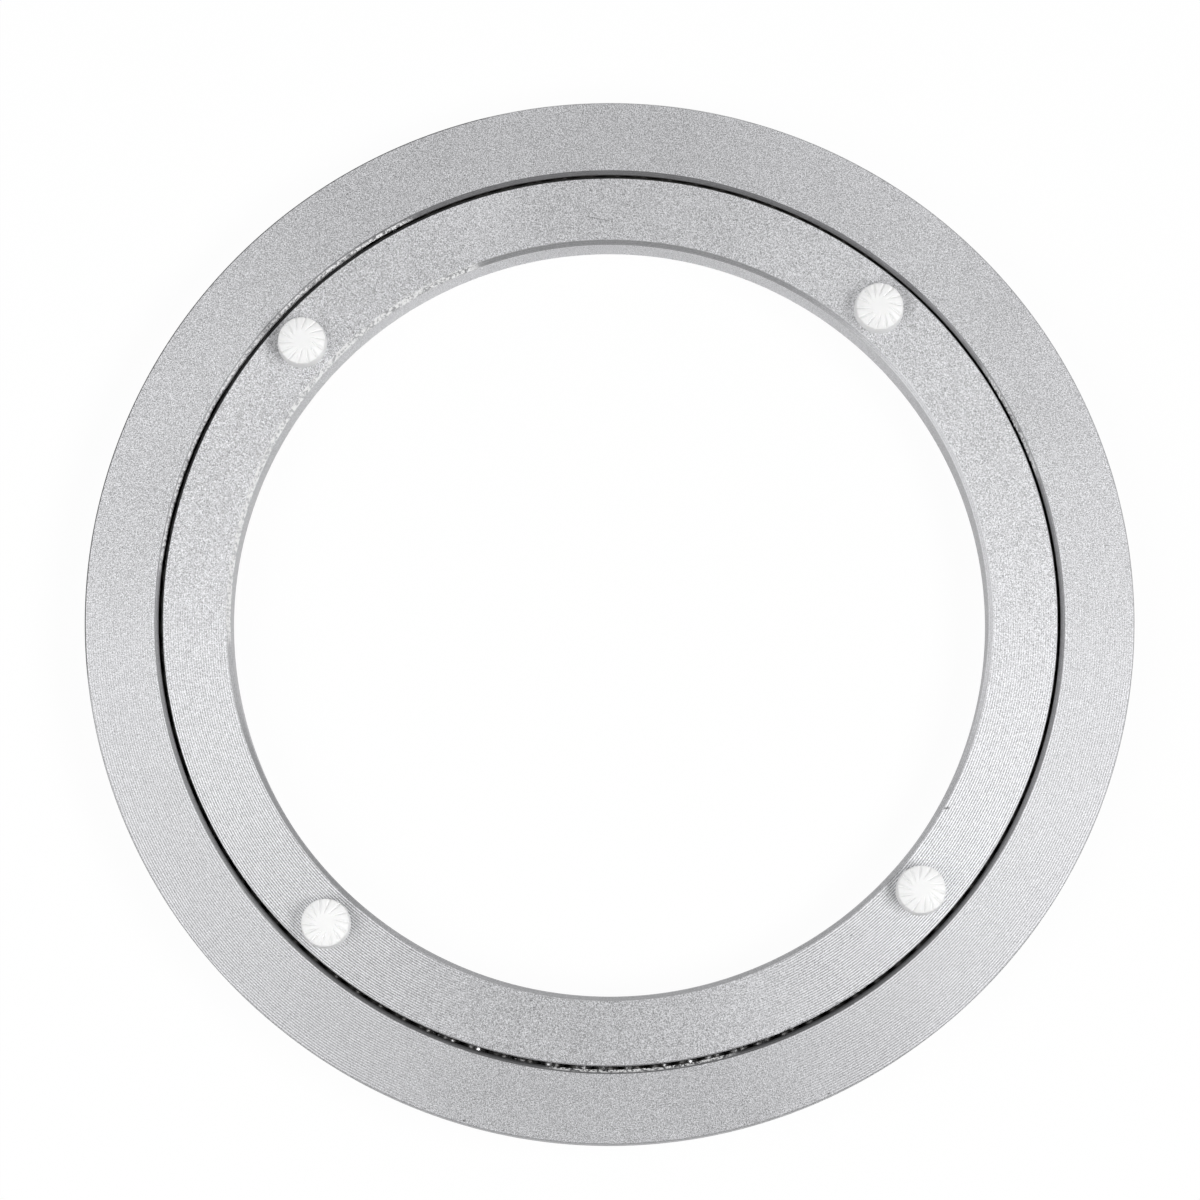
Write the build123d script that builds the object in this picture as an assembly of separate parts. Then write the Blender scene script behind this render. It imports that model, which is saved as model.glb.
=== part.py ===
from build123d import *
import math
import os

# Turntable bearing: two flat aluminium rings, one inside the other, that turn on a full circle of
# steel balls. Four ribbed plastic pads stand on the inner ring and carry the turntable's top.
# +Z is the turning axis. The outer ring's underside lies on Z = 0, and the origin is its centre.
# Lengths are in millimetres. Angles are in degrees, counted from +X towards +Y.

# The two rings
bore_diameter = 144.4
inner_ring_width = 13.1
ring_gap = 0.65
outer_ring_width = 14.05
ring_height = 10.5
inner_ring_rise = 0.5  # the inner ring stands this much higher, so that it turns clear of the table

# Edges, all cut at 45 degrees
bore_chamfer = 0.85
inner_lip_chamfer = 0.15
outer_lip_chamfer = 0.8
rim_chamfer = 0.2
foot_chamfer = 0.2  # on both rings' undersides

# Balls and the track that they run in
ball_diameter = 5.0
ball_spacing = 0.06  # least free length between two balls, along their circle
first_ball_angle = 1.24
track_clearance = 0.12

# Filling hole through the outer ring's wall, closed by a set screw
filler_angle = 90.0
filler_play = 1.0  # the hole is this much wider than a ball
filler_thread_clearance = 0.05
filler_ball_gap = 0.2  # free length between the screw's tip and the track
filler_recess = 1.5  # the screw's head lies this deep below the rim
filler_end_chamfer = 0.6
filler_socket_width = 3.0  # hexagon, across its flats
filler_socket_depth = 3.5

# Pads on the inner ring, a little unevenly spaced, as they were drilled
pad_angles = {
    "pad_back_right": 49.0,
    "pad_back_left": 138.1,
    "pad_front_left": 227.5,
    "pad_front_right": 318.4,
}
# How far each pad lies outside the middle of the ring's width
pad_offsets = {
    "pad_back_right": 0.0,
    "pad_back_left": 0.3,
    "pad_front_left": 0.6,
    "pad_front_right": -0.1,
}
# How far each pad was turned when it was pressed in
pad_turns = {
    "pad_back_right": -6.9,
    "pad_back_left": -6.3,
    "pad_front_left": -8.1,
    "pad_front_right": 6.4,
}
pad_diameter = 9.5
pad_draft = 0.25  # the side leans in by this much from the foot to the edge
pad_edge_height = 3.4
pad_crown_rise = 0.8
pad_flat_diameter = 3.2  # plain middle of the crown
pad_groove_count = 14
pad_groove_depth = 0.4  # at the pad's edge
pad_groove_angle = 80.0
pad_groove_skew = 0.75  # the grooves run past the pad's middle at this distance, like a pinwheel
pad_stem_diameter = 4.0
pad_stem_length = 4.0
pad_stem_clearance = 0.05
pad_hole_spare = 0.5  # the blind hole is this much deeper than the stem

# Places that follow from the sizes above
bore_radius = bore_diameter / 2
inner_ring_radius = bore_radius + inner_ring_width
outer_wall_radius = inner_ring_radius + ring_gap
rim_radius = outer_wall_radius + outer_ring_width
ball_radius = ball_diameter / 2
ball_circle_radius = inner_ring_radius + ring_gap / 2
ball_height = (ring_height + inner_ring_rise) / 2
track_radius = ball_radius + track_clearance
inner_face_height = inner_ring_rise + ring_height
pad_circle_radius = bore_radius + inner_ring_width / 2
pad_foot_radius = pad_diameter / 2
pad_edge_radius = pad_foot_radius - pad_draft
pad_flat_radius = pad_flat_diameter / 2
pad_crown_height = pad_edge_height + pad_crown_rise


def turned_ring(inner_radius, outer_radius, base, inner_chamfer, outer_chamfer):
    """A flat ring turned about Z, with its four edges chamfered and the ball track cut into its wall."""
    middle = Pos((inner_radius + outer_radius) / 2, base + ring_height / 2)
    section = middle * Rectangle(outer_radius - inner_radius, ring_height)
    section = chamfer(section.vertices().group_by(Axis.Y)[0], foot_chamfer)
    section = chamfer(section.vertices().group_by(Axis.Y)[-1].sort_by(Axis.X)[0], inner_chamfer)
    section = chamfer(section.vertices().group_by(Axis.Y)[-1].sort_by(Axis.X)[-1], outer_chamfer)
    section -= Pos(ball_circle_radius, ball_height) * Circle(track_radius)
    return revolve(Plane.XZ * section, Axis.Z)


def filler_axis(radius):
    """A place on the filling hole's axis, at a radius, that faces outwards."""
    turned = Rot(0, 0, filler_angle) * Pos(radius, 0, ball_height)
    return turned * Rot(0, 90, 0)


def upright_post(diameter, low, high):
    """A round post from one height to another, on the part's axis."""
    return Pos(0, 0, low) * Cylinder(diameter / 2, high - low, align=(Align.CENTER, Align.CENTER, Align.MIN))


def pad_place(name):
    """Where a pad stands on the inner ring's face, not turned with its radius."""
    angle = pad_angles[name]
    radius = pad_circle_radius + pad_offsets[name]
    return Rot(0, 0, angle) * Pos(radius, 0, inner_face_height) * Rot(0, 0, -angle)


def make_outer_ring():
    ring = turned_ring(outer_wall_radius, rim_radius, 0.0, outer_lip_chamfer, rim_chamfer)
    hole_diameter = ball_diameter + filler_play
    drill = upright_post(hole_diameter, 0.0, rim_radius - ball_circle_radius)
    return ring - filler_axis(ball_circle_radius) * drill


def make_inner_ring():
    ring = turned_ring(bore_radius, inner_ring_radius, inner_ring_rise, bore_chamfer, inner_lip_chamfer)
    hole_diameter = pad_stem_diameter + 2 * pad_stem_clearance
    drill = upright_post(hole_diameter, -pad_stem_length - pad_hole_spare, 0.0)
    for name in pad_angles:
        ring -= pad_place(name) * drill
    return ring


def make_balls():
    """As many balls as the circle holds, evenly spaced."""
    circle_length = 2 * math.pi * ball_circle_radius
    count = math.floor(circle_length / (ball_diameter + ball_spacing))
    first = Pos(ball_circle_radius, 0, ball_height) * Sphere(ball_radius)
    return [Rot(0, 0, first_ball_angle + 360 * i / count) * first for i in range(count)]


def make_filler_screw():
    """A headless screw with a hexagon socket, flat at its tip."""
    tip = ball_circle_radius + track_radius + filler_ball_gap
    length = rim_radius - filler_recess - tip
    diameter = ball_diameter + filler_play - 2 * filler_thread_clearance
    screw = upright_post(diameter, 0.0, length)
    screw = chamfer(screw.edges().filter_by(GeomType.CIRCLE), filler_end_chamfer)
    socket_radius = filler_socket_width / math.sqrt(3)
    socket = extrude(RegularPolygon(socket_radius, 6), -filler_socket_depth)
    screw -= Pos(0, 0, length) * socket
    return filler_axis(tip) * screw


def make_pad():
    """A domed button with a flat crown, slanting grooves and a stem below it."""
    crown_edge = (pad_flat_radius, pad_crown_height)
    side_edge = (pad_edge_radius, pad_edge_height)
    outline = [
        Polyline((0, pad_crown_height), crown_edge),
        TangentArc(crown_edge, side_edge, tangent=(1, 0)),
        Polyline(side_edge, (pad_foot_radius, 0), (0, 0), (0, pad_crown_height)),
    ]
    pad = revolve(Plane.XZ * make_face(outline), Axis.Z)
    pad -= [Rot(0, 0, 360 * i / pad_groove_count) * pad_groove() for i in range(pad_groove_count)]
    return pad + upright_post(pad_stem_diameter, -pad_stem_length, 0.0)


def pad_groove():
    """The V that cuts one groove, from nothing at the flat crown to full depth at the edge."""
    start = Vector(pad_flat_radius, pad_groove_skew, pad_crown_height)
    end = Vector(pad_edge_radius, pad_groove_skew, pad_edge_height - pad_groove_depth)
    run = end - start
    rise = 2 * pad_crown_rise
    side = rise * math.tan(math.radians(pad_groove_angle / 2))
    profile = make_face(Polyline((0, 0), (side, rise), (-side, rise), close=True))
    along = Plane(origin=start, x_dir=(0, 1, 0), z_dir=run)
    return extrude(along * profile, run.length + pad_groove_depth)


parts = {
    "outer_ring": make_outer_ring(),
    "inner_ring": make_inner_ring(),
    "bearing_balls": Compound(make_balls()),
    "filler_screw": make_filler_screw(),
}
pad = make_pad()
for name, turn in pad_turns.items():
    parts[name] = pad_place(name) * Rot(0, 0, turn) * pad

os.makedirs("parts", exist_ok=True)
for name, shape in parts.items():
    export_step(shape, f"parts/{name}.step")
    print(name, round(shape.volume, 1), "mm3")
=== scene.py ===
# %% [markdown]
# # A turntable bearing, from solids to a picture
#
# The bearing is two flat aluminium rings, one inside the other, that turn on a circle of steel balls.
# White ribbed pads on the inner ring carry the turntable's top. The solids of every piece are loaded
# first, and they fix every size and place. What follows remodels each piece with the small things that
# a lathe, a drill and some handling leave on it, and gives it its finish.

# %% Load the solids
import math

import bmesh
import bpy
from mathutils import Matrix, Vector


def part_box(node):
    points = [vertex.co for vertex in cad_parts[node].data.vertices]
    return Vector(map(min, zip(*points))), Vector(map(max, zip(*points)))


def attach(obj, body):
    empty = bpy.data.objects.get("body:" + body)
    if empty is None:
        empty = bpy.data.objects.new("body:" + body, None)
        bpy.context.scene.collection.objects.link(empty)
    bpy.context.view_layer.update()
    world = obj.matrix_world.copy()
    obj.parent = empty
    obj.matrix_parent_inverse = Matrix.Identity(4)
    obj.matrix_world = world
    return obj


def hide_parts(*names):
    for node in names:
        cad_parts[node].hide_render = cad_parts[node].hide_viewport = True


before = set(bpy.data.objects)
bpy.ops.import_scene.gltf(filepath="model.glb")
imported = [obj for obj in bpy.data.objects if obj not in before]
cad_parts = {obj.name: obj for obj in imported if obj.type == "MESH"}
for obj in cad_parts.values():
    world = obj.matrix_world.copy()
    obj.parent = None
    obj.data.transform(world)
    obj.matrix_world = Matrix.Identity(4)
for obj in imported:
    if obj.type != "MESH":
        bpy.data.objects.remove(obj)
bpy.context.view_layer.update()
print("solids:", sorted(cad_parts))

# %% [markdown]
# ## Sizes
#
# Blender works in metres, and a bearing is drawn in millimetres, so one name stands for a millimetre.
# The radii are read from the solids: the smallest and largest distance of a ring's points from the
# turning axis are its two walls. Only the small edge cuts are written here.

# %% Read the bearing's sizes from the solids
mm = 0.001


def walls_of(node):
    """Smallest and largest radius of a solid about the turning axis."""
    radii = [vertex.co.xy.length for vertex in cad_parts[node].data.vertices]
    return min(radii), max(radii)


bore_radius, inner_ring_radius = walls_of("inner_ring")
outer_wall_radius, rim_radius = walls_of("outer_ring")
inner_low, inner_high = (corner.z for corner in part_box("inner_ring"))
outer_low, outer_high = (corner.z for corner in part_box("outer_ring"))
ball_low, ball_high = (corner.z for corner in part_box("bearing_balls"))

ball_radius = (ball_high - ball_low) / 2
ball_height = (ball_high + ball_low) / 2
ball_circle_radius = (inner_ring_radius + outer_wall_radius) / 2
track_clearance = 0.12 * mm
track_radius = ball_radius + track_clearance

bore_chamfer = 0.85 * mm
inner_lip_chamfer = 0.15 * mm
outer_lip_chamfer = 0.8 * mm
rim_chamfer = 0.2 * mm
foot_chamfer = 0.2 * mm
edge_break = 0.05 * mm  # the rounding that handling leaves on every turned edge
print(f"bore {2 * bore_radius / mm:.1f} mm, rim {2 * rim_radius / mm:.1f} mm")
print(f"balls {2 * ball_radius / mm:.1f} mm")

# %% [markdown]
# ## Working by hand, in code
#
# An operator acts on whatever is selected in the open mesh. These helpers do what the mouse would do:
# start a piece with nothing else selected, pick points or faces by where they are, and close it again.

# %% Helpers for modelling


def begin(name):
    """Names the primitive that was just added and opens it with everything selected."""
    piece = bpy.context.object
    piece.name = name
    piece.data.name = name
    bpy.ops.object.mode_set(mode="EDIT")
    bpy.ops.mesh.select_mode(type="VERT")
    bpy.ops.mesh.select_all(action="SELECT")
    return piece


def done():
    """Closes the open piece."""
    bpy.ops.object.mode_set(mode="OBJECT")


def deselect():
    """Leaves no object selected, so that the next operator acts on its own piece alone."""
    bpy.ops.object.select_all(action="DESELECT")


def choose(piece):
    """Makes one piece the only selected and active one."""
    deselect()
    piece.select_set(True)
    bpy.context.view_layer.objects.active = piece


def pick_points(piece, test):
    """Selects the open piece's points that pass a test of their place, and returns how many."""
    mesh = bmesh.from_edit_mesh(piece.data)
    bpy.ops.mesh.select_mode(type="VERT")
    for vertex in mesh.verts:
        vertex.select = test(vertex.co)
    mesh.select_flush_mode()
    bmesh.update_edit_mesh(piece.data)
    return sum(vertex.select for vertex in mesh.verts)


def pick_faces(piece, test):
    """Selects the open piece's faces that pass a test of their middle and normal, and returns how many."""
    bpy.ops.mesh.select_mode(type="FACE")
    mesh = bmesh.from_edit_mesh(piece.data)
    for face in mesh.faces:
        face.select_set(test(face.calc_center_median(), face.normal))
    mesh.select_flush_mode()
    bmesh.update_edit_mesh(piece.data)
    return sum(face.select for face in mesh.faces)


def finish_with(piece, kind, **settings):
    """Adds a modifier with its settings and applies it."""
    choose(piece)
    modifier = piece.modifiers.new(kind.lower(), kind)
    for name, value in settings.items():
        setattr(modifier, name, value)
    bpy.ops.object.modifier_apply(modifier=modifier.name)


def bearing_angle(place):
    """Angle of a place about the turning axis, in degrees from 0 to 360, counted from +X towards +Y."""
    return math.degrees(math.atan2(place.y, place.x)) % 360


# %% [markdown]
# ## Shader arithmetic
#
# A finish is a sum of simple things: turning lines, grain, smears, worn spots. In the node editor each
# sum is a Math node. The class below wraps a socket, so that the same sum can be written as plain
# arithmetic and the nodes add themselves.

# %% A socket that does arithmetic


class Signal:
    """A socket in a node tree. Arithmetic on it adds Math nodes and gives a new signal."""

    def __init__(self, tree, socket=None):
        self.tree = tree
        self.socket = socket

    def node(self, kind, settings=None, sockets=None, output=0):
        """Adds any node: its settings first, then the values or links of its sockets."""
        made = self.tree.nodes.new(kind)
        for name, value in (settings or {}).items():
            setattr(made, name, value)
        for name, value in (sockets or {}).items():
            if isinstance(value, Signal):
                self.tree.links.new(value.socket, made.inputs[name])
            else:
                made.inputs[name].default_value = value
        return Signal(self.tree, made.outputs[output])

    def math(self, operation, *values):
        """A Math node on this signal and further values."""
        return self.node("ShaderNodeMath", {"operation": operation}, dict(enumerate((self, *values))))

    def __add__(self, other):
        return self.math("ADD", other)

    def __sub__(self, other):
        return self.math("SUBTRACT", other)

    def __rsub__(self, other):
        return (self * -1).math("ADD", other)

    def __mul__(self, other):
        return self.math("MULTIPLY", other)

    def __truediv__(self, other):
        return self.math("DIVIDE", other)

    __radd__ = __add__
    __rmul__ = __mul__

    def step(self, start, end):
        """0 below start and 1 above end, with a smooth rise between; start may be the larger one."""
        settings = {"interpolation_type": "SMOOTHSTEP"}
        sockets = {"Value": self, "From Min": start, "From Max": end}
        return self.node("ShaderNodeMapRange", settings, sockets)

    def noise(self, scale, detail=2.0, roughness=0.5):
        """Cloudy noise from 0 to 1 at this place, with about so many blotches to a millimetre."""
        sockets = {"Vector": self, "Scale": scale, "Detail": detail, "Roughness": roughness}
        return self.node("ShaderNodeTexNoise", {"noise_dimensions": "3D"}, sockets)

    def between(self, first, second):
        """The first colour where this signal is 0, the second where it is 1."""
        names = {0: self, 6: first, 7: second}
        return self.node("ShaderNodeMix", {"data_type": "RGBA"}, names, output=2)


def new_finish(name):
    """A new material: the material, its shader and the place on the piece in millimetres."""
    material = bpy.data.materials.new(name)
    material.use_nodes = True
    shader = material.node_tree.nodes["Principled BSDF"]
    start = Signal(material.node_tree)
    place = start.node("ShaderNodeTexCoord", output="Object")
    place = start.node("ShaderNodeVectorMath", {"operation": "SCALE"}, {0: place, "Scale": 1 / mm})
    return material, shader, place


def split(place):
    """The x, y and z of a place."""
    return [place.node("ShaderNodeSeparateXYZ", None, {0: place}, output=i) for i in range(3)]


def connect(shader, **signals):
    """Feeds signals to the shader's sockets; an underscore stands for the blank in a socket's name."""
    for name, signal in signals.items():
        signal.tree.links.new(signal.socket, shader.inputs[name.replace("_", " ")])


def dent(height):
    """A bumped normal from a height in millimetres."""
    sockets = {"Height": height, "Distance": mm, "Strength": 1.0}
    return height.node("ShaderNodeBump", None, sockets, "Normal")


# %% [markdown]
# ## Where a place lies on the bearing
#
# Nearly every mark on the bearing follows its axis: lathe lines run round it, and wear lies on one side
# of it. So a place is given by its radius, angle and height, as on a lathe, and by how far it lies in
# some direction from the axis. +Y is the back.

# %% Radius, angle and direction
back = 90  # degrees from +X


def about_axis(place):
    """Radius about the turning axis, angle in degrees from 0 to 360, and height, in millimetres."""
    x, y, z = split(place)
    radius = (x * x + y * y).math("SQRT")
    angle = (y.math("ARCTAN2", x) * math.degrees(1)).math("WRAP", 360.0, 0.0)
    return radius, angle, z


def facing(angle, direction):
    """1 where a place lies in a direction from the axis and -1 opposite it; both are in degrees."""
    return ((angle - direction) * math.radians(1)).math("COSINE")


# %% [markdown]
# ## A dark band and small marks
#
# A bearing that has been handled is not quite clean. The inner ring's face is darker in a band along its
# lip next to the gap, widest at the back left, and the faces have a few nicks and one hair scratch. Each
# is a mask, 1 on the mark and 0 elsewhere, and the finishes that follow darken the metal by it.

# %% Masks for the dark band and marks


def dark_lip_band(place, lip_radius):
    """1 on a dark band along a ring's outer lip, widest at the back left, and 0 elsewhere."""
    radius, angle, _ = about_axis(place)
    width = facing(angle, 130) * 0.45
    ragged = (place.noise(1.2, 3.0) - 0.5) * 0.08
    return (radius + width + ragged - lip_radius).step(-0.04, 0.06) * width.step(0.03, 0.12)


def handling_marks(place, marks):
    """1 on small marks, each given by radius, angle, half length, slope and half width; 0 elsewhere."""
    x, y, _ = split(place)
    found = x * 0
    for radius, angle, length, slope, width in marks:
        turn, lean = math.radians(angle), math.radians(slope)
        right, up = x - radius * math.cos(turn), y - radius * math.sin(turn)
        along = right * math.cos(lean) + up * math.sin(lean)
        across = up * math.cos(lean) - right * math.sin(lean)
        inside = along.math("ABSOLUTE").step(length, 0.6 * length)
        inside = inside * across.math("ABSOLUTE").step(1.5 * width, 0.5 * width)
        found = found.math("MAXIMUM", inside)
    return found


far_lip = 2 * rim_radius / mm  # a lip that no face reaches, for the surfaces without the dark band
inner_lip_radius = inner_ring_radius / mm
# Radius, angle, half length, slope and half width of each mark, in millimetres and degrees
rim_nicks = [(99.4, 294.5, 0.3, 25, 0.15), (99.4, 254.0, 0.3, -15, 0.15)]
face_nicks = [(73.6, 330.2, 0.6, 10, 0.20), (75.9, 307.0, 0.3, 40, 0.15)]
hair_scratch = (77.2, 91.8, 2.6, -12, 0.055)
face_marks = face_nicks + [hair_scratch]
print("marks:", len(rim_nicks), "on the outer ring,", len(face_marks), "on the inner ring")

# %% [markdown]
# ## Turned, anodised aluminium
#
# Both rings are faced on a lathe and then anodised to a soft silver. The tool leaves a spiral too fine
# to count, so light smears along the radius and a bright fan opens towards each lamp. A constant
# anisotropy turned across the lathe's lines gives that fan. The fine lines, the speckle of the anodised
# skin and a few broad smears are added on top: small changes of colour, roughness and height. The
# lines' shading is painted into the colour at the front left and the front right, two sides of the rings
# carry a painted shade, and the back of the walls is painted lighter, as painted light.

# %% The rings' faces and walls
turning_pitch = 0.45  # millimetres between two turning lines
black = (0, 0, 0, 1)
anodised_tint = (0.975, 0.977, 1.0, 1)


def turned_aluminium(name, silver, line_shade_strength, side_shading, lip_radius, marks, painted_back_light=0.0):
    """Satin aluminium with lathe lines, speckle, smears, wear and painted shade; painted_back_light
    lightens its back.
    """
    material, shader, place = new_finish(name)
    radius, angle, height = about_axis(place)
    toward_back = facing(angle, back)
    wander = place.noise(0.05, 1.0) * 0.6
    lines = ((radius + height + wander) * (2 * math.pi / turning_pitch)).math("SINE")
    # painted shade: the turning lines show in the colour only at the front left and the front right, where
    # light rakes across them
    painted_line_shade = toward_back.step(0.3, -0.6) * toward_back.step(-0.98, -0.85)
    speckle = place.noise(5.5, 1.0, 0.6) - 0.5
    smear = place.noise(0.035, 3.0, 0.55) - 0.5
    # painted shade: two sides of the ring are darker
    side_shade = sum(facing(angle, direction).step(0.70, 0.97) * amount for direction, amount in side_shading)
    shade = (speckle * (2.5 - painted_line_shade) + lines * painted_line_shade * line_shade_strength + smear * 0.15 + 1 - side_shade) * silver
    worn = handling_marks(place, marks) * 0.6
    # darker in a band along the lip next to the gap, widest at the back left
    shade = shade * (1 - worn.math("MAXIMUM", dark_lip_band(place, lip_radius) * 0.96))
    # painted light: the back is lighter
    shade = shade * (1 + toward_back.step(0.4, 0.95) * painted_back_light)
    connect(
        shader,
        Base_Color=shade.between(black, anodised_tint),
        Roughness=speckle * 0.2 + smear * 0.10 + 0.62,
        Normal=dent(lines * 0.004 + speckle * 0.008),
    )
    shader.inputs["Metallic"].default_value = 0.68
    shader.inputs["Anisotropic"].default_value = 0.65
    shader.inputs["Anisotropic Rotation"].default_value = 0.25
    return material


outer_aluminium = turned_aluminium(
    "outer_ring_turned_face",
    silver=0.675,
    line_shade_strength=0.28,
    side_shading=[(142, 0.11), (250, 0.05)],  # direction in degrees, and how much painted shade darkens it there
    lip_radius=far_lip,
    marks=rim_nicks,
)
inner_aluminium = turned_aluminium(
    "inner_ring_turned_face",
    silver=0.715,
    line_shade_strength=0.38,
    side_shading=[(148, 0.10), (248, 0.09)],
    lip_radius=inner_lip_radius,
    marks=face_marks,
)
# painted light: the walls are painted lighter at the back
wall_aluminium = turned_aluminium(
    "turned_wall", silver=0.48, line_shade_strength=0.15, side_shading=[], lip_radius=far_lip, marks=[], painted_back_light=0.36
)
print("finishes:", outer_aluminium.name, inner_aluminium.name, wall_aluminium.name)

# %% [markdown]
# ## Cut edges
#
# The edges were broken after facing, and the cutter tore the metal here and there. A torn stretch is
# bright and ragged, and the rest is a plain bevel with a few tool lines along it. The mask is a window
# on the angle for each torn stretch, kept to the radii where the burr stands and broken up by noise.
# The bore's edge is painted lighter on the right and darker on the left, as painted light and shade. The
# edges are painted darker at the front and the back as shade, the rim carries a painted shadow at the back
# left, and the outer lip's lower part is painted darker next to the gap at the front, as shade.

# %% The bevelled edges
tool_pitch = 0.3  # millimetres between two tool lines on a bevel


def window(angle, start, end):
    """1 between two angles in degrees, fading over a few degrees at each end."""
    fade = 3.0
    return angle.step(start - fade, start) * angle.step(end + fade, end)


def cut_edge(name, torn, burr_radius, bare, burr, film_and_lip_shade, front_back_shading, lip_radius):
    """A bevel of a bare grey, with a paler burr inside a radius, between the torn angles."""
    material, shader, place = new_finish(name)
    radius, angle, _ = about_axis(place)
    toward_back = facing(angle, back)
    on_rim = radius.step(99.0, 99.3)
    inside_rim = radius.step(98.0, 97.0)
    on_bore = radius.step(80.0, 79.0)

    # the dark band along the lip next to the gap
    lip_band = dark_lip_band(place, lip_radius)
    flakes = place.noise(1.6, 3.0, 0.7)
    on_burr = radius.step(burr_radius + 0.15, burr_radius - 0.15)
    ragged = sum(window(angle, start, end) for start, end in torn)
    torn_here = ragged * flakes.step(0.42, 0.54) * on_burr * (1 - lip_band)

    # painted shadow on the rim at the back left
    rim_painted_shadow = on_rim * window(angle, 105, 185)
    # painted shade: the edges are darker towards the front and the back
    front_back_shade = toward_back.math("ABSOLUTE").step(0.55, 0.9) * inside_rim
    # painted shade: the outer lip's lower part is darker next to the gap at the front
    lip_gap_shade = toward_back.step(-0.3, -0.6) * radius.step(burr_radius, burr_radius - 0.35)
    # painted light on the bore's edge at the right and painted shade on it at the left
    bore_edge_painted_light = facing(angle, 18).step(0.70, 0.93) * 0.5
    bore_edge_painted_shade = facing(angle, 213).step(0.92, 0.985) * 0.3
    bore_edge_light_and_shade = (bore_edge_painted_light - bore_edge_painted_shade) * on_bore
    grain = place.noise(4.0, 2.0) - 0.5
    tool_lines = (radius * (2 * math.pi / tool_pitch)).math("SINE")
    shade = (grain * 0.9 + tool_lines * 0.10 + 1) * (1 - lip_band * 0.96) * bare
    shade = shade * (1 - rim_painted_shadow * 0.7) * (1 - front_back_shade * front_back_shading) * (1 - lip_gap_shade * film_and_lip_shade) * (1 + bore_edge_light_and_shade)
    metal = shade.between(black, anodised_tint)
    connect(
        shader,
        Base_Color=torn_here.between(metal, (burr, burr, burr, 1)),
        Roughness=torn_here * 0.2 + grain * 0.1 + 0.50,
        Metallic=0.7 - torn_here * 0.6,
        Normal=dent(torn_here * flakes * 0.05 + grain * 0.008),
    )
    return material


outer_lip_torn = [(20, 32), (118, 172), (264, 284)]
bore_torn = [(112, 182)]
burr_width = 0.5  # millimetres
outer_cut = cut_edge(
    "outer_ring_cut_edge",
    torn=outer_lip_torn,
    burr_radius=outer_wall_radius / mm + burr_width,
    bare=0.50,
    burr=0.96,
    film_and_lip_shade=0.6,
    front_back_shading=0.35,
    lip_radius=far_lip,
)
inner_cut = cut_edge(
    "inner_ring_cut_edge",
    torn=bore_torn,
    burr_radius=inner_lip_radius + burr_width,
    bare=0.58,
    burr=0.86,
    film_and_lip_shade=0.0,
    front_back_shading=0.2,
    lip_radius=inner_lip_radius,
)
print("torn stretches:", outer_lip_torn, bore_torn)

# %% [markdown]
# ## The greased track
#
# The two facing walls and the ball track between them are dark with grease and anodising, which is why
# the gap reads as a black line. The balls are polished steel under the same film of grease. Away from
# the front the balls and walls are darker, with fewer bare patches, so they glint only at the front. At
# the back the film is painted lighter, as painted light, and at the back left a painted highlight lies
# on the outer ring's wall above the track.

# %% The gap's walls and the balls
# the colour of the painted highlight on the outer ring's wall
painted_glint_colour = (0.9, 0.9, 0.9, 1)


def greased(name, bare, film_and_lip_shade, share):
    """Patchy grease on metal, with painted light at the back and a painted highlight; share is the film's
    cover at the front.
    """
    material, shader, place = new_finish(name)
    _, angle, height = about_axis(place)
    toward_back = facing(angle, back)
    # darker away from the front, with fewer bare patches
    darker_off_front = toward_back.step(-0.94, -0.84)
    patches = (place.noise(0.5, 3.0, 0.6) - darker_off_front * 0.4).step(share + 0.15, share - 0.15)
    # painted light: the film is lighter at the back
    painted_lit_film = [3.5 * part for part in film_and_lip_shade[:3]] + [1]
    grease_and_painted_light = toward_back.step(0.7, 0.95).between(film_and_lip_shade, painted_lit_film)
    above_track = height.step(8.0, 8.4)
    # painted highlight on the outer ring's wall above the track at the back left
    painted_wall_glint = window(angle, 126, 148) * above_track * place.noise(1.6, 3.0, 0.7).step(0.30, 0.42)
    connect(
        shader,
        Base_Color=painted_wall_glint.between(patches.between(bare, grease_and_painted_light), painted_glint_colour),
        Roughness=patches * 0.16 + painted_wall_glint * 0.3 + 0.14,
        Metallic=(1 - patches * 0.55) * (1 - painted_wall_glint * 0.8),
        Normal=dent(patches * 0.02),
    )
    return material


track_finish = greased("greased_track", (0.10, 0.10, 0.105, 1), (0.022, 0.021, 0.020, 1), 0.55)
ball_finish = greased("greased_ball_steel", (0.42, 0.42, 0.43, 1), (0.030, 0.028, 0.026, 1), 0.58)
print("finishes:", track_finish.name, ball_finish.name)

# %% [markdown]
# ## White moulded plastic
#
# The pads are moulded in white nylon. It is nearly white, with a soft sheen and a hint of light that
# passes under its skin. A faint mottle keeps it from looking flat.

# %% The pads' plastic


def moulded_plastic(name):
    """White nylon with a faint mottle."""
    material, shader, place = new_finish(name)
    mottle = place.noise(0.9, 3.0)
    skin = place.noise(5.0, 2.0)
    connect(
        shader,
        Base_Color=mottle.between((0.865, 0.865, 0.86, 1), (0.905, 0.905, 0.905, 1)),
        Roughness=mottle * 0.12 + 0.38,
        Normal=dent(skin * 0.006),
    )
    shader.inputs["Subsurface Weight"].default_value = 0.1
    shader.inputs["Subsurface Radius"].default_value = (0.8, 0.8, 0.75)
    shader.inputs["Subsurface Scale"].default_value = 0.2 * mm
    return material


pad_plastic = moulded_plastic("white_moulded_plastic")
print("finish:", pad_plastic.name)

# %% [markdown]
# ## Turning a ring
#
# A lathe makes a ring by holding one outline while the blank turns. The same works here: a single
# point is extruded round the ring's section, corner by corner, the corners are rounded a little by a
# vertex bevel, and a Screw modifier with no rise turns the outline once about the axis. The half-round
# ball track is part of the outline.

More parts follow.
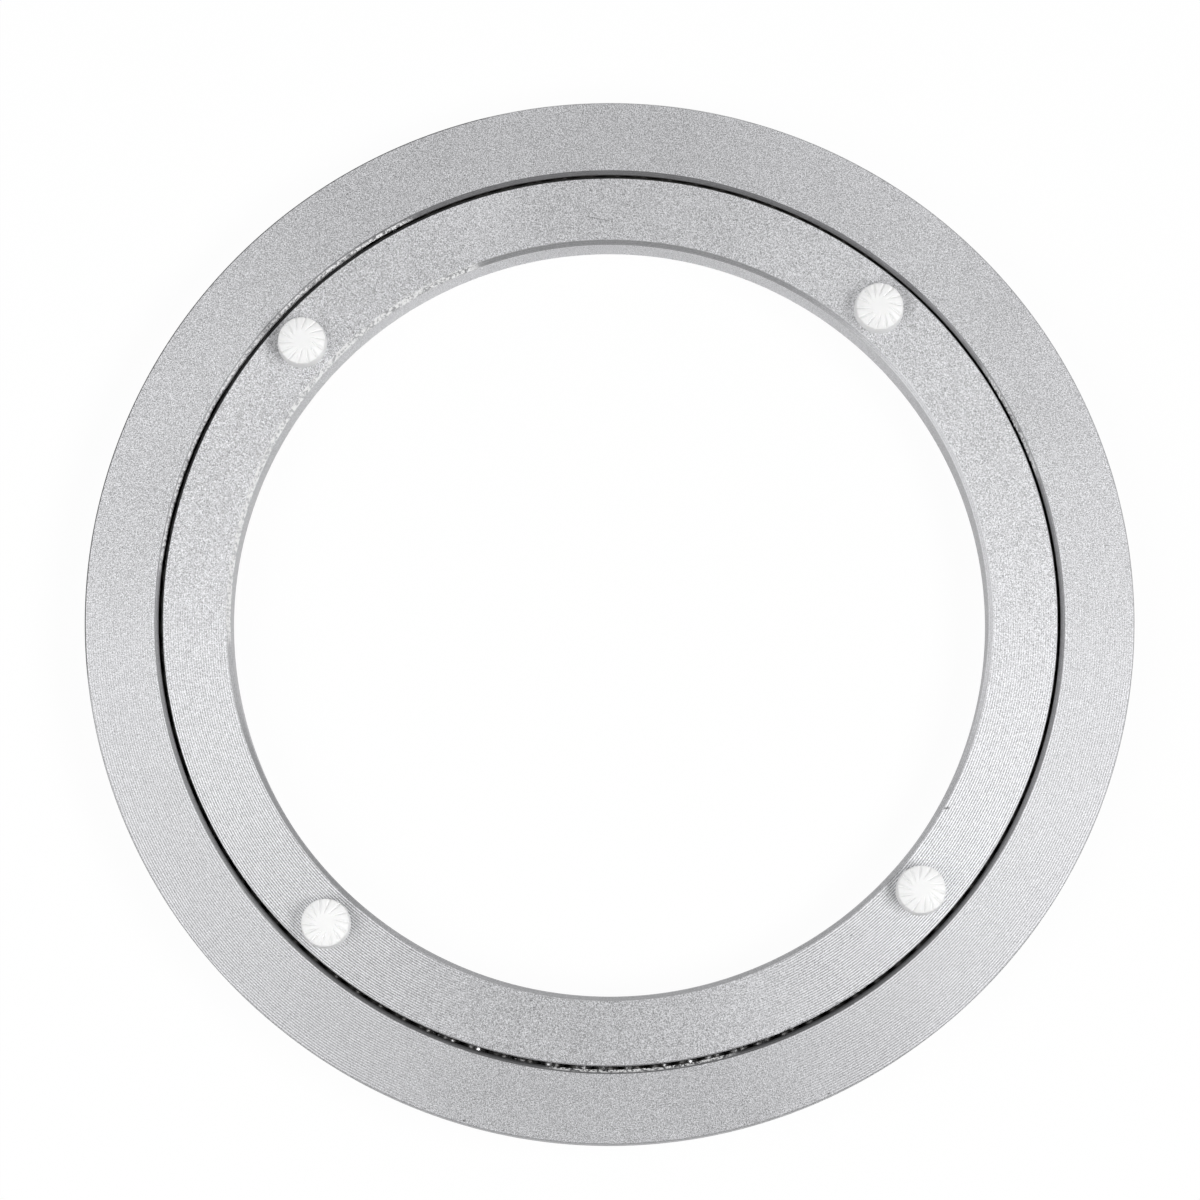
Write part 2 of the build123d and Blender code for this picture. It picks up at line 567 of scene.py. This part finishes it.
# %% Draw an outline and turn it
turn_steps = 1440
same_place = 0.0001 * mm  # points that lie closer than this are one point
row_distance = 0.4 * mm  # rows beside the corners, so that a torn lip leaves the face behind it flat
plain_wall = 1.4 * mm  # the inner ring's wall is free of grease down to here


def draw_outline(name, points):
    """Extrudes one vertex along (radius, height) points in the XZ plane, and leaves the piece open."""
    deselect()
    bpy.ops.mesh.primitive_plane_add(size=mm)
    piece = begin(name)
    bpy.ops.mesh.merge(type="CENTER")
    first = points[0]
    bpy.ops.transform.translate(value=(first[0], 0, first[1]))
    for (radius, height), (next_radius, next_height) in zip(points, points[1:]):
        move = (next_radius - radius, 0, next_height - height)
        bpy.ops.mesh.extrude_vertices_move(TRANSFORM_OT_translate={"value": move})
    return piece


def close_outline(piece, points):
    """Joins the outline's last point to its first one."""
    ends = [Vector((radius, 0, height)) for radius, height in (points[0], points[-1])]
    pick_points(piece, lambda place: min((place - end).length for end in ends) < same_place)
    bpy.ops.mesh.edge_face_add()


def round_corners(piece, corners, size):
    """Rounds the outline's named corners."""
    places = [Vector((radius, 0, height)) for radius, height in corners]
    pick_points(piece, lambda place: min((place - corner).length for corner in places) < same_place)
    bpy.ops.mesh.bevel(offset=size, segments=3, affect="VERTICES")


def track_arc(side, count=20):
    """The half-round track's points, from its upper edge to its lower one; side is 1 for the outer ring."""
    reach = math.acos((outer_wall_radius - inner_ring_radius) / 2 / track_radius)
    turns = [reach - 2 * reach * i / count for i in range(count + 1)]
    return [
        (
            ball_circle_radius + side * track_radius * math.cos(turn),
            ball_height + track_radius * math.sin(turn),
        )
        for turn in turns
    ]


def add_rows(corners):
    """Adds a point close to each corner on the long sides, and a middle point on each bevel."""
    points = [corners[0]]
    for (radius, height), (next_radius, next_height) in zip(corners, corners[1:]):
        outwards = next_radius - radius
        upwards = next_height - height
        length = math.hypot(outwards, upwards)
        shares = (0.5,) if length < 3 * row_distance else (row_distance / length, 1 - row_distance / length)
        for share in shares:
            points.append((radius + outwards * share, height + upwards * share))
        points.append((next_radius, next_height))
    return points


def turn_outline(piece, steps, merge_distance):
    """Turns a piece's outline once about the axis, closes the seam and leaves the piece open."""
    finish_with(
        piece,
        "SCREW",
        steps=steps,
        render_steps=steps,
        use_merge_vertices=True,
        merge_threshold=merge_distance,
    )
    bpy.ops.object.mode_set(mode="EDIT")
    bpy.ops.mesh.select_all(action="SELECT")
    bpy.ops.mesh.remove_doubles(threshold=merge_distance)
    bpy.ops.mesh.normals_make_consistent(inside=False)


def turn_ring(name, corners, track, last_corner):
    """Draws a ring's section with its track, and turns it into a closed ring."""
    points = add_rows(corners) + track + [last_corner]
    piece = draw_outline(name, points)
    close_outline(piece, points)
    round_corners(piece, corners + [last_corner], edge_break)
    done()
    turn_outline(piece, turn_steps, merge_distance=10 * same_place)
    done()
    print(name, len(piece.data.polygons), "faces")
    return piece


# %% Turn both rings
outer_ring = turn_ring(
    "outer_ring_turned",
    [
        (outer_wall_radius + foot_chamfer, outer_low),
        (rim_radius - foot_chamfer, outer_low),
        (rim_radius, outer_low + foot_chamfer),
        (rim_radius, outer_high - rim_chamfer),
        (rim_radius - rim_chamfer, outer_high),
        (outer_wall_radius + outer_lip_chamfer, outer_high),
        (outer_wall_radius, outer_high - outer_lip_chamfer),
    ],
    track_arc(1),
    (outer_wall_radius, outer_low + foot_chamfer),
)
inner_ring = turn_ring(
    "inner_ring_turned",
    [
        (inner_ring_radius - foot_chamfer, inner_low),
        (bore_radius + foot_chamfer, inner_low),
        (bore_radius, inner_low + foot_chamfer),
        (bore_radius, inner_high - bore_chamfer),
        (bore_radius + bore_chamfer, inner_high),
        (inner_ring_radius - inner_lip_chamfer, inner_high),
        (inner_ring_radius, inner_high - inner_lip_chamfer),
    ],
    [(inner_ring_radius, inner_high - plain_wall), *track_arc(-1)],
    (inner_ring_radius, inner_low + foot_chamfer),
)

# %% [markdown]
# ## The filling hole
#
# One-piece rings can only be filled with balls through a hole in the wall. It is drilled from the rim
# at ball height, and a headless screw closes it. A Boolean modifier with a cylinder drills it, and a
# second one with a cone takes the sharp edge off its mouth.

# %% Drill the filling hole
filler_low, filler_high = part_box("filler_screw")
filler_radius = (filler_high.x - filler_low.x) / 2
thread_clearance = 0.05 * mm
hole_radius = filler_radius + thread_clearance
mouth_depth = 0.4 * mm


def drill(piece, cutter):
    """Cuts a helper's shape out of a piece and deletes the helper."""
    finish_with(piece, "BOOLEAN", operation="DIFFERENCE", object=cutter, solver="EXACT")
    bpy.data.objects.remove(cutter, do_unlink=True)


def along_filler(start, end):
    """Place, turn and length of a helper on the filling hole's axis, which runs along +Y."""
    return {
        "location": (0, (start + end) / 2, ball_height),
        "rotation": (-math.pi / 2, 0, 0),
        "depth": end - start,
    }


deselect()
bpy.ops.mesh.primitive_cylinder_add(
    radius=hole_radius, vertices=64, **along_filler(ball_circle_radius, rim_radius + 2 * mm)
)
drill(outer_ring, bpy.context.object)
deselect()
bpy.ops.mesh.primitive_cone_add(
    radius1=hole_radius,
    radius2=hole_radius + 2 * mouth_depth,
    vertices=64,
    **along_filler(rim_radius - mouth_depth, rim_radius + mouth_depth),
)
drill(outer_ring, bpy.context.object)
print("outer ring after drilling:", len(outer_ring.data.polygons), "faces")

# %% [markdown]
# ## Torn lips
#
# Where the cutter tore the lip, its edge is ragged. The lip's points in those stretches are picked by
# radius, height and angle, and moved a little at random, with a fixed seed so that every run gives the
# same chips.

# %% Tear the lips


def tear(piece, radius, reach, top, stretches, amount, seed):
    """Moves the points near a lip at random, within the given angles."""

    def on_lip(place):
        near = abs(place.xy.length - radius) < reach and abs(place.z - top) < reach
        return near and any(start < bearing_angle(place) < end for start, end in stretches)

    choose(piece)
    bpy.ops.object.mode_set(mode="EDIT")
    count = pick_points(piece, on_lip)
    bpy.ops.transform.vertex_random(offset=amount, uniform=0.4, normal=0.0, seed=seed)
    done()
    print(piece.name, "torn points:", count)


inner_lip_torn = [(290, 310)]
outer_lip_height = outer_high - outer_lip_chamfer
inner_lip_edge = inner_ring_radius - inner_lip_chamfer
bore_edge = bore_radius + bore_chamfer
tear(outer_ring, outer_wall_radius, 0.3 * mm, outer_lip_height, outer_lip_torn, 0.09 * mm, seed=3)
tear(inner_ring, inner_lip_edge, 0.3 * mm, inner_high, inner_lip_torn, 0.07 * mm, seed=5)
tear(inner_ring, bore_edge, 0.15 * mm, inner_high, bore_torn, 0.03 * mm, seed=8)

# %% [markdown]
# ## Which surface is which
#
# Four finishes share each ring: the turned faces, the darker walls, the cut bevels, and the greased
# track. Faces are picked by their normal, upright or slanted, and by where they are: in the track or on
# the gap's walls.

# %% Give the rings their finishes
track_margin = 0.05 * mm
wall_margin = 0.02 * mm
wall_rise = 0.2  # the normal of a wall rises no more than this
face_rise = 0.97  # the normal of a flat face rises at least this much


def in_gap(place):
    """True in the ball track, on the outer ring's wall and on the lower part of the inner ring's wall."""
    radius = place.xy.length
    track = math.hypot(radius - ball_circle_radius, place.z - ball_height) < track_radius + track_margin
    outer_wall = abs(radius - outer_wall_radius) < wall_margin
    inner_wall = abs(radius - inner_ring_radius) < wall_margin and place.z < inner_high - plain_wall
    return track or outer_wall or inner_wall


def slanted(normal):
    """True on a bevel, which is neither level nor upright."""
    return wall_rise < abs(normal.z) < face_rise


def dress_ring(piece, faces, edges, node, body):
    """Assigns a ring's finishes, smooths it and puts it in its solid's place."""
    for material in (faces, wall_aluminium, edges, track_finish):
        piece.data.materials.append(material)
    choose(piece)
    bpy.ops.object.mode_set(mode="EDIT")
    for index, test in (
        (1, lambda place, normal: abs(normal.z) <= wall_rise),
        (2, lambda place, normal: slanted(normal)),
        (3, lambda place, normal: in_gap(place)),
    ):
        pick_faces(piece, test)
        piece.active_material_index = index
        bpy.ops.object.material_slot_assign()
    done()
    bpy.ops.object.shade_smooth_by_angle(angle=math.radians(9))
    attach(piece, body)
    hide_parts(node)
    print(piece.name, "stands for", node, "and rides on", body)


dress_ring(outer_ring, outer_aluminium, outer_cut, "outer_ring", "outer")
dress_ring(inner_ring, inner_aluminium, inner_cut, "inner_ring", "inner")

# %% [markdown]
# ## The balls
#
# One ball is a sphere, and the rest are copies of it set round the axis. Spin does that in one step
# when it is told to make duplicates, and the balls stay one piece because they travel together. The film
# of grease on them is thick enough to close the hundredths of a millimetre that lie between two balls.

# %% Fill the track with balls
ball_spacing = 0.06 * mm  # least free length between two bare balls
first_ball_angle = math.radians(1.24)
ball_count = math.floor(2 * math.pi * ball_circle_radius / (2 * ball_radius + ball_spacing))
grease_film = 0.05 * mm
filmed_radius = ball_circle_radius * math.sin(math.pi / ball_count) + grease_film

deselect()
first_place = (
    ball_circle_radius * math.cos(first_ball_angle),
    ball_circle_radius * math.sin(first_ball_angle),
    ball_height,
)
bpy.ops.mesh.primitive_uv_sphere_add(radius=filmed_radius, segments=32, ring_count=16)
balls = begin("bearing_balls_polished")
bpy.ops.transform.translate(value=first_place)
bpy.ops.mesh.spin(
    steps=ball_count - 1,
    dupli=True,
    angle=2 * math.pi * (ball_count - 1) / ball_count,
    center=(0, 0, 0),
    axis=(0, 0, 1),
)
bpy.ops.mesh.select_all(action="SELECT")
bpy.ops.mesh.normals_make_consistent(inside=False)
done()
bpy.ops.object.shade_smooth()
balls.data.materials.append(ball_finish)
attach(balls, "balls")
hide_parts("bearing_balls")
print(ball_count, "balls,", len(balls.data.polygons), "faces")

# %% [markdown]
# ## The pads
#
# A pad is a short button with a low dome. Its grooves do not meet in the middle: they run past it like
# the blades of a pinwheel. It is turned from an outline with the crown, the dome, the slightly leaning
# side and the stem. Then the points on and beside a groove are sunk, row by row, to a V whose straight
# bottom runs from the crown down to the edge, and each row is turned so that its grooves follow the
# slant. One pad is modelled at the origin, and the others are copies with their own mesh.

# %% Model one pad
pad_names = [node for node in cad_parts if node.startswith("pad_")]
pad_low, pad_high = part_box(pad_names[0])
pad_foot_radius = (pad_high.x - pad_low.x) / 2
pad_draft = 0.25 * mm  # the side leans in by this much from the foot to the edge
pad_edge_radius = pad_foot_radius - pad_draft
pad_crown = pad_high.z - inner_high
pad_crown_rise = 0.8 * mm
pad_edge_height = pad_crown - pad_crown_rise
pad_stem_end = pad_low.z - inner_high
pad_stem_radius = 2.0 * mm
pad_flat_radius = 1.6 * mm
groove_depth = 0.4 * mm
groove_skew = 0.75 * mm  # the grooves pass the pad's middle at this distance
groove_count = 14
columns = 16  # points from one groove to the next
dome_rows = 10


def dome_height(radius):
    """Height of the dome's arc, which leaves the flat crown level and ends at the edge."""
    run = pad_edge_radius - pad_flat_radius
    arc_radius = (run * run + pad_crown_rise * pad_crown_rise) / (2 * pad_crown_rise)
    out = radius - pad_flat_radius
    return pad_crown - arc_radius + math.sqrt(arc_radius * arc_radius - out * out)


dome_step = (pad_edge_radius - pad_flat_radius) / dome_rows
dome_radii = [pad_flat_radius + dome_step * i for i in range(dome_rows + 1)]
side_shares = (0.82, 0.55, 0.28, 0)  # heights of the side's rows, as shares of the edge's height
pad_outline = [(0, pad_crown)]
pad_outline += [(radius, dome_height(radius)) for radius in dome_radii]
pad_outline += [(pad_foot_radius - pad_draft * share, pad_edge_height * share) for share in side_shares]
pad_outline += [(pad_stem_radius, 0), (pad_stem_radius, pad_stem_end), (0, pad_stem_end)]

pad = draw_outline("pad_model", pad_outline)
done()
turn_outline(pad, groove_count * columns, merge_distance=same_place)
print("pad blank:", len(pad_outline), "points in its outline")

# %% Sink the pad's grooves
groove_pitch = 360 / groove_count
groove_angle = 80  # degrees between the V's two sides
groove_slope = math.tan(math.radians(groove_angle / 2))


def off_groove(place):
    """How many columns a point lies away from the nearest groove's bottom."""
    away = (bearing_angle(place) + groove_pitch / 2) % groove_pitch - groove_pitch / 2
    return round(abs(away) / groove_pitch * columns)


def groove_bottom(radius):
    """Height of the groove's straight bottom, from the flat crown down to its full depth at the edge."""
    share = (radius - pad_flat_radius) / (pad_edge_radius - pad_flat_radius)
    return pad_crown - (pad_crown_rise + groove_depth) * share


def on_row(place, radius):
    """True on the dome's row of points at a radius."""
    return abs(place.xy.length - radius) < dome_step / 3 and place.z > pad_edge_height - 1.2 * groove_depth


def on_flank(place, radius, offset):
    """True on the points of a row that lie so many columns away from a groove's bottom."""
    return on_row(place, radius) and off_groove(place) == offset


sunk_points = 0
for radius in dome_radii[1:]:
    column_width = radius * math.radians(groove_pitch) / columns
    for offset in range(columns // 2):
        sink = dome_height(radius) - groove_bottom(radius) - offset * column_width / groove_slope
        if sink > 0:
            sunk_points += pick_points(pad, lambda place: on_flank(place, radius, offset))
            bpy.ops.transform.translate(value=(0, 0, -sink))
print("points sunk:", sunk_points)

# %% Slant the grooves and soften the edge
edge_slant = math.asin(groove_skew / pad_edge_radius)
edge_rounding = 0.12 * mm
for radius in dome_radii[:-1]:
    pick_points(pad, lambda place: on_row(place, radius))
    slant = math.asin(groove_skew / radius) - edge_slant
    bpy.ops.transform.rotate(value=-slant, orient_axis="Z", center_override=(0, 0, 0))
pick_points(pad, lambda place: on_row(place, pad_edge_radius))
bpy.ops.mesh.bevel(offset=edge_rounding, segments=3, affect="EDGES")
done()
bpy.ops.object.shade_smooth_by_angle(angle=math.radians(50))
pad.data.materials.append(pad_plastic)
print("pad:", len(pad.data.polygons), "faces")

# %% Set a copy of the pad in each place
groove_turns = {  # degrees that each pad was turned when it was pressed in
    "pad_back_right": -6.9,
    "pad_back_left": -6.3,
    "pad_front_left": -8.1,
    "pad_front_right": 6.4,
}
for node in pad_names:
    low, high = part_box(node)
    copy = pad.copy()
    copy.data = pad.data.copy()
    copy.name = copy.data.name = node + "_moulded"
    bpy.context.scene.collection.objects.link(copy)
    middle = (low + high) / 2
    turn = Matrix.Rotation(math.radians(groove_turns[node]) + edge_slant, 4, "Z")
    copy.data.transform(Matrix.Translation((middle.x, middle.y, inner_high)) @ turn)
    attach(copy, "inner")
    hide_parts(node)
bpy.data.objects.remove(pad, do_unlink=True)
print("pads:", pad_names)

# %% [markdown]
# ## The filler screw
#
# A headless screw is a short cylinder with its ends turned down and a hexagon socket. The ends are
# bevelled, and a six-sided helper is cut out of the outer end.

# %% The screw's steel


def screw_steel(name):
    """Plain dark steel with faint rolling marks."""
    material, shader, place = new_finish(name)
    mottle = place.noise(1.2, 3.0)
    fine = place.noise(7.0, 2.0)
    connect(
        shader,
        Base_Color=mottle.between((0.20, 0.20, 0.205, 1), (0.34, 0.34, 0.35, 1)),
        Roughness=mottle * 0.2 + 0.28,
        Normal=dent(fine * 0.01),
    )
    shader.inputs["Metallic"].default_value = 1.0
    return material


plain_steel = screw_steel("screw_plain_steel")
print("finish:", plain_steel.name)

# %% Model the filler screw
socket_width = 3.0 * mm
socket_depth = 3.5 * mm
screw_end_chamfer = 0.6 * mm
deselect()
bpy.ops.mesh.primitive_cylinder_add(
    radius=filler_radius, vertices=96, **along_filler(filler_low.y, filler_high.y)
)
bpy.ops.object.transform_apply(location=True, rotation=True, scale=True)
screw = begin("filler_screw_steel")
pick_faces(screw, lambda place, normal: abs(normal.y) > 0.9)
bpy.ops.mesh.region_to_loop()
bpy.ops.mesh.bevel(offset=screw_end_chamfer, segments=1, affect="EDGES")
done()
deselect()
bpy.ops.mesh.primitive_cylinder_add(
    radius=socket_width / math.sqrt(3),
    vertices=6,
    **along_filler(filler_high.y - socket_depth, filler_high.y + socket_depth),
)
drill(screw, bpy.context.object)
choose(screw)
bpy.ops.object.shade_smooth_by_angle(angle=math.radians(30))
screw.data.materials.append(plain_steel)
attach(screw, "outer")
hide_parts("filler_screw")
print("screw:", len(screw.data.polygons), "faces")

# %% [markdown]
# ## Floor and light
#
# The bearing lies on a white table under soft lamps. Most of the white that the camera sees is the
# table's own, so that it stays white, and a part of it is lit, so that it keeps the soft shadow under
# the rings. Two large softboxes, a strong one on the right and a weak one on the left, both a little
# towards the viewer, open the bright fans on the turned faces. The room is grey towards the back and
# dark towards the viewer.

# %% Lay the floor
deselect()
bpy.ops.mesh.primitive_grid_add(size=6.0, x_subdivisions=4, y_subdivisions=4)
floor = bpy.context.object
floor.name = "white_table"
own_share = 0.95  # how much of the white that is seen is the table's own


def white_table():
    """Mostly its own white to the camera and to shiny metal, and a lit matt white for all other light."""
    material = bpy.data.materials.new("white_table")
    material.use_nodes = True
    tree = material.node_tree
    start = Signal(tree)
    tree.nodes.remove(tree.nodes["Principled BSDF"])
    kinds = ("Camera", "Glossy", "Transmission")
    rays = [start.node("ShaderNodeLightPath", output=f"Is {kind} Ray") for kind in kinds]
    seen = rays[0].math("MAXIMUM", rays[1]).math("MAXIMUM", rays[2])
    lit = start.node("ShaderNodeBsdfDiffuse", None, {"Color": (0.9, 0.9, 0.9, 1)})
    own = start.node("ShaderNodeEmission", None, {"Color": (1, 1, 1, 1), "Strength": 1.0})
    mixed = start.node("ShaderNodeMixShader", None, {0: seen * own_share, 1: lit, 2: own})
    tree.links.new(mixed.socket, tree.nodes["Material Output"].inputs["Surface"])
    return material


floor.data.materials.append(white_table())
print("floor:", floor.name)

# %% Hang the lamps
aim = Vector((0, 0, outer_high))


def softbox(name, azimuth, elevation, distance, width, height, brightness):
    """A softbox that faces the bearing; azimuth is counted from +X towards +Y."""
    turn, rise = math.radians(azimuth), math.radians(elevation)
    direction = Vector((math.cos(turn) * math.cos(rise), math.sin(turn) * math.cos(rise), math.sin(rise)))
    deselect()
    bpy.ops.object.light_add(type="AREA", location=aim + direction * distance)
    lamp = bpy.context.object
    lamp.name = name
    lamp.rotation_euler = (-direction).to_track_quat("-Z", "Y").to_euler()
    lamp.data.shape = "RECTANGLE"
    lamp.data.size = width
    lamp.data.size_y = height
    lamp.data.energy = brightness * math.pi * width * height
    print(name, "at", tuple(round(c, 2) for c in lamp.location))


softbox("right_softbox", azimuth=-16, elevation=50, distance=2.0, width=1.4, height=0.8, brightness=8.35)
softbox("left_softbox", azimuth=204, elevation=50, distance=1.2, width=1.1, height=1.0, brightness=2.7)

# %% Paint the room
world = bpy.data.worlds.new("grey_room")
bpy.context.scene.world = world
world.use_nodes = True
room = Signal(world.node_tree)
_, y, _ = split(room.node("ShaderNodeTexCoord", output="Generated"))
grey_at_side = 0.06
grey_at_back = 0.61
grey = (y * (grey_at_back - grey_at_side) + grey_at_side).math("MAXIMUM", 0.0)
background = world.node_tree.nodes["Background"]
connect(background, Color=grey.between(black, (1, 1, 1, 1)))
print("room:", world.name, "from", grey_at_side, "at the sides to", grey_at_back, "at the back")

# %% [markdown]
# ## Camera
#
# The view is nearly straight down, from a little towards the viewer, with a long lens. The bearing's
# middle lies slightly right of and below the picture's middle.

# %% Set the camera
camera_tilt = math.radians(7.4)
camera_distance = 1.0
pixels_per_mm = 5.25
frame_pixels = 1200
middle_pixel = Vector((609.6, 617.0))

toward_camera = Vector((0, -math.sin(camera_tilt), math.cos(camera_tilt)))
offset = (middle_pixel - Vector((frame_pixels / 2, frame_pixels / 2))) / pixels_per_mm * mm
camera_up = Vector((0, math.cos(camera_tilt), math.sin(camera_tilt)))
target = aim + Vector((-offset.x, 0, 0)) + camera_up * offset.y
deselect()
bpy.ops.object.camera_add(location=target + toward_camera * camera_distance)
camera = bpy.context.object
camera.rotation_euler = (-toward_camera).to_track_quat("-Z", "Y").to_euler()
camera.data.sensor_width = 36.0
camera.data.lens = camera.data.sensor_width * pixels_per_mm * camera_distance / mm / frame_pixels
bpy.context.scene.camera = camera
bpy.context.scene.view_settings.view_transform = "Standard"
print(f"lens {camera.data.lens:.1f} mm")
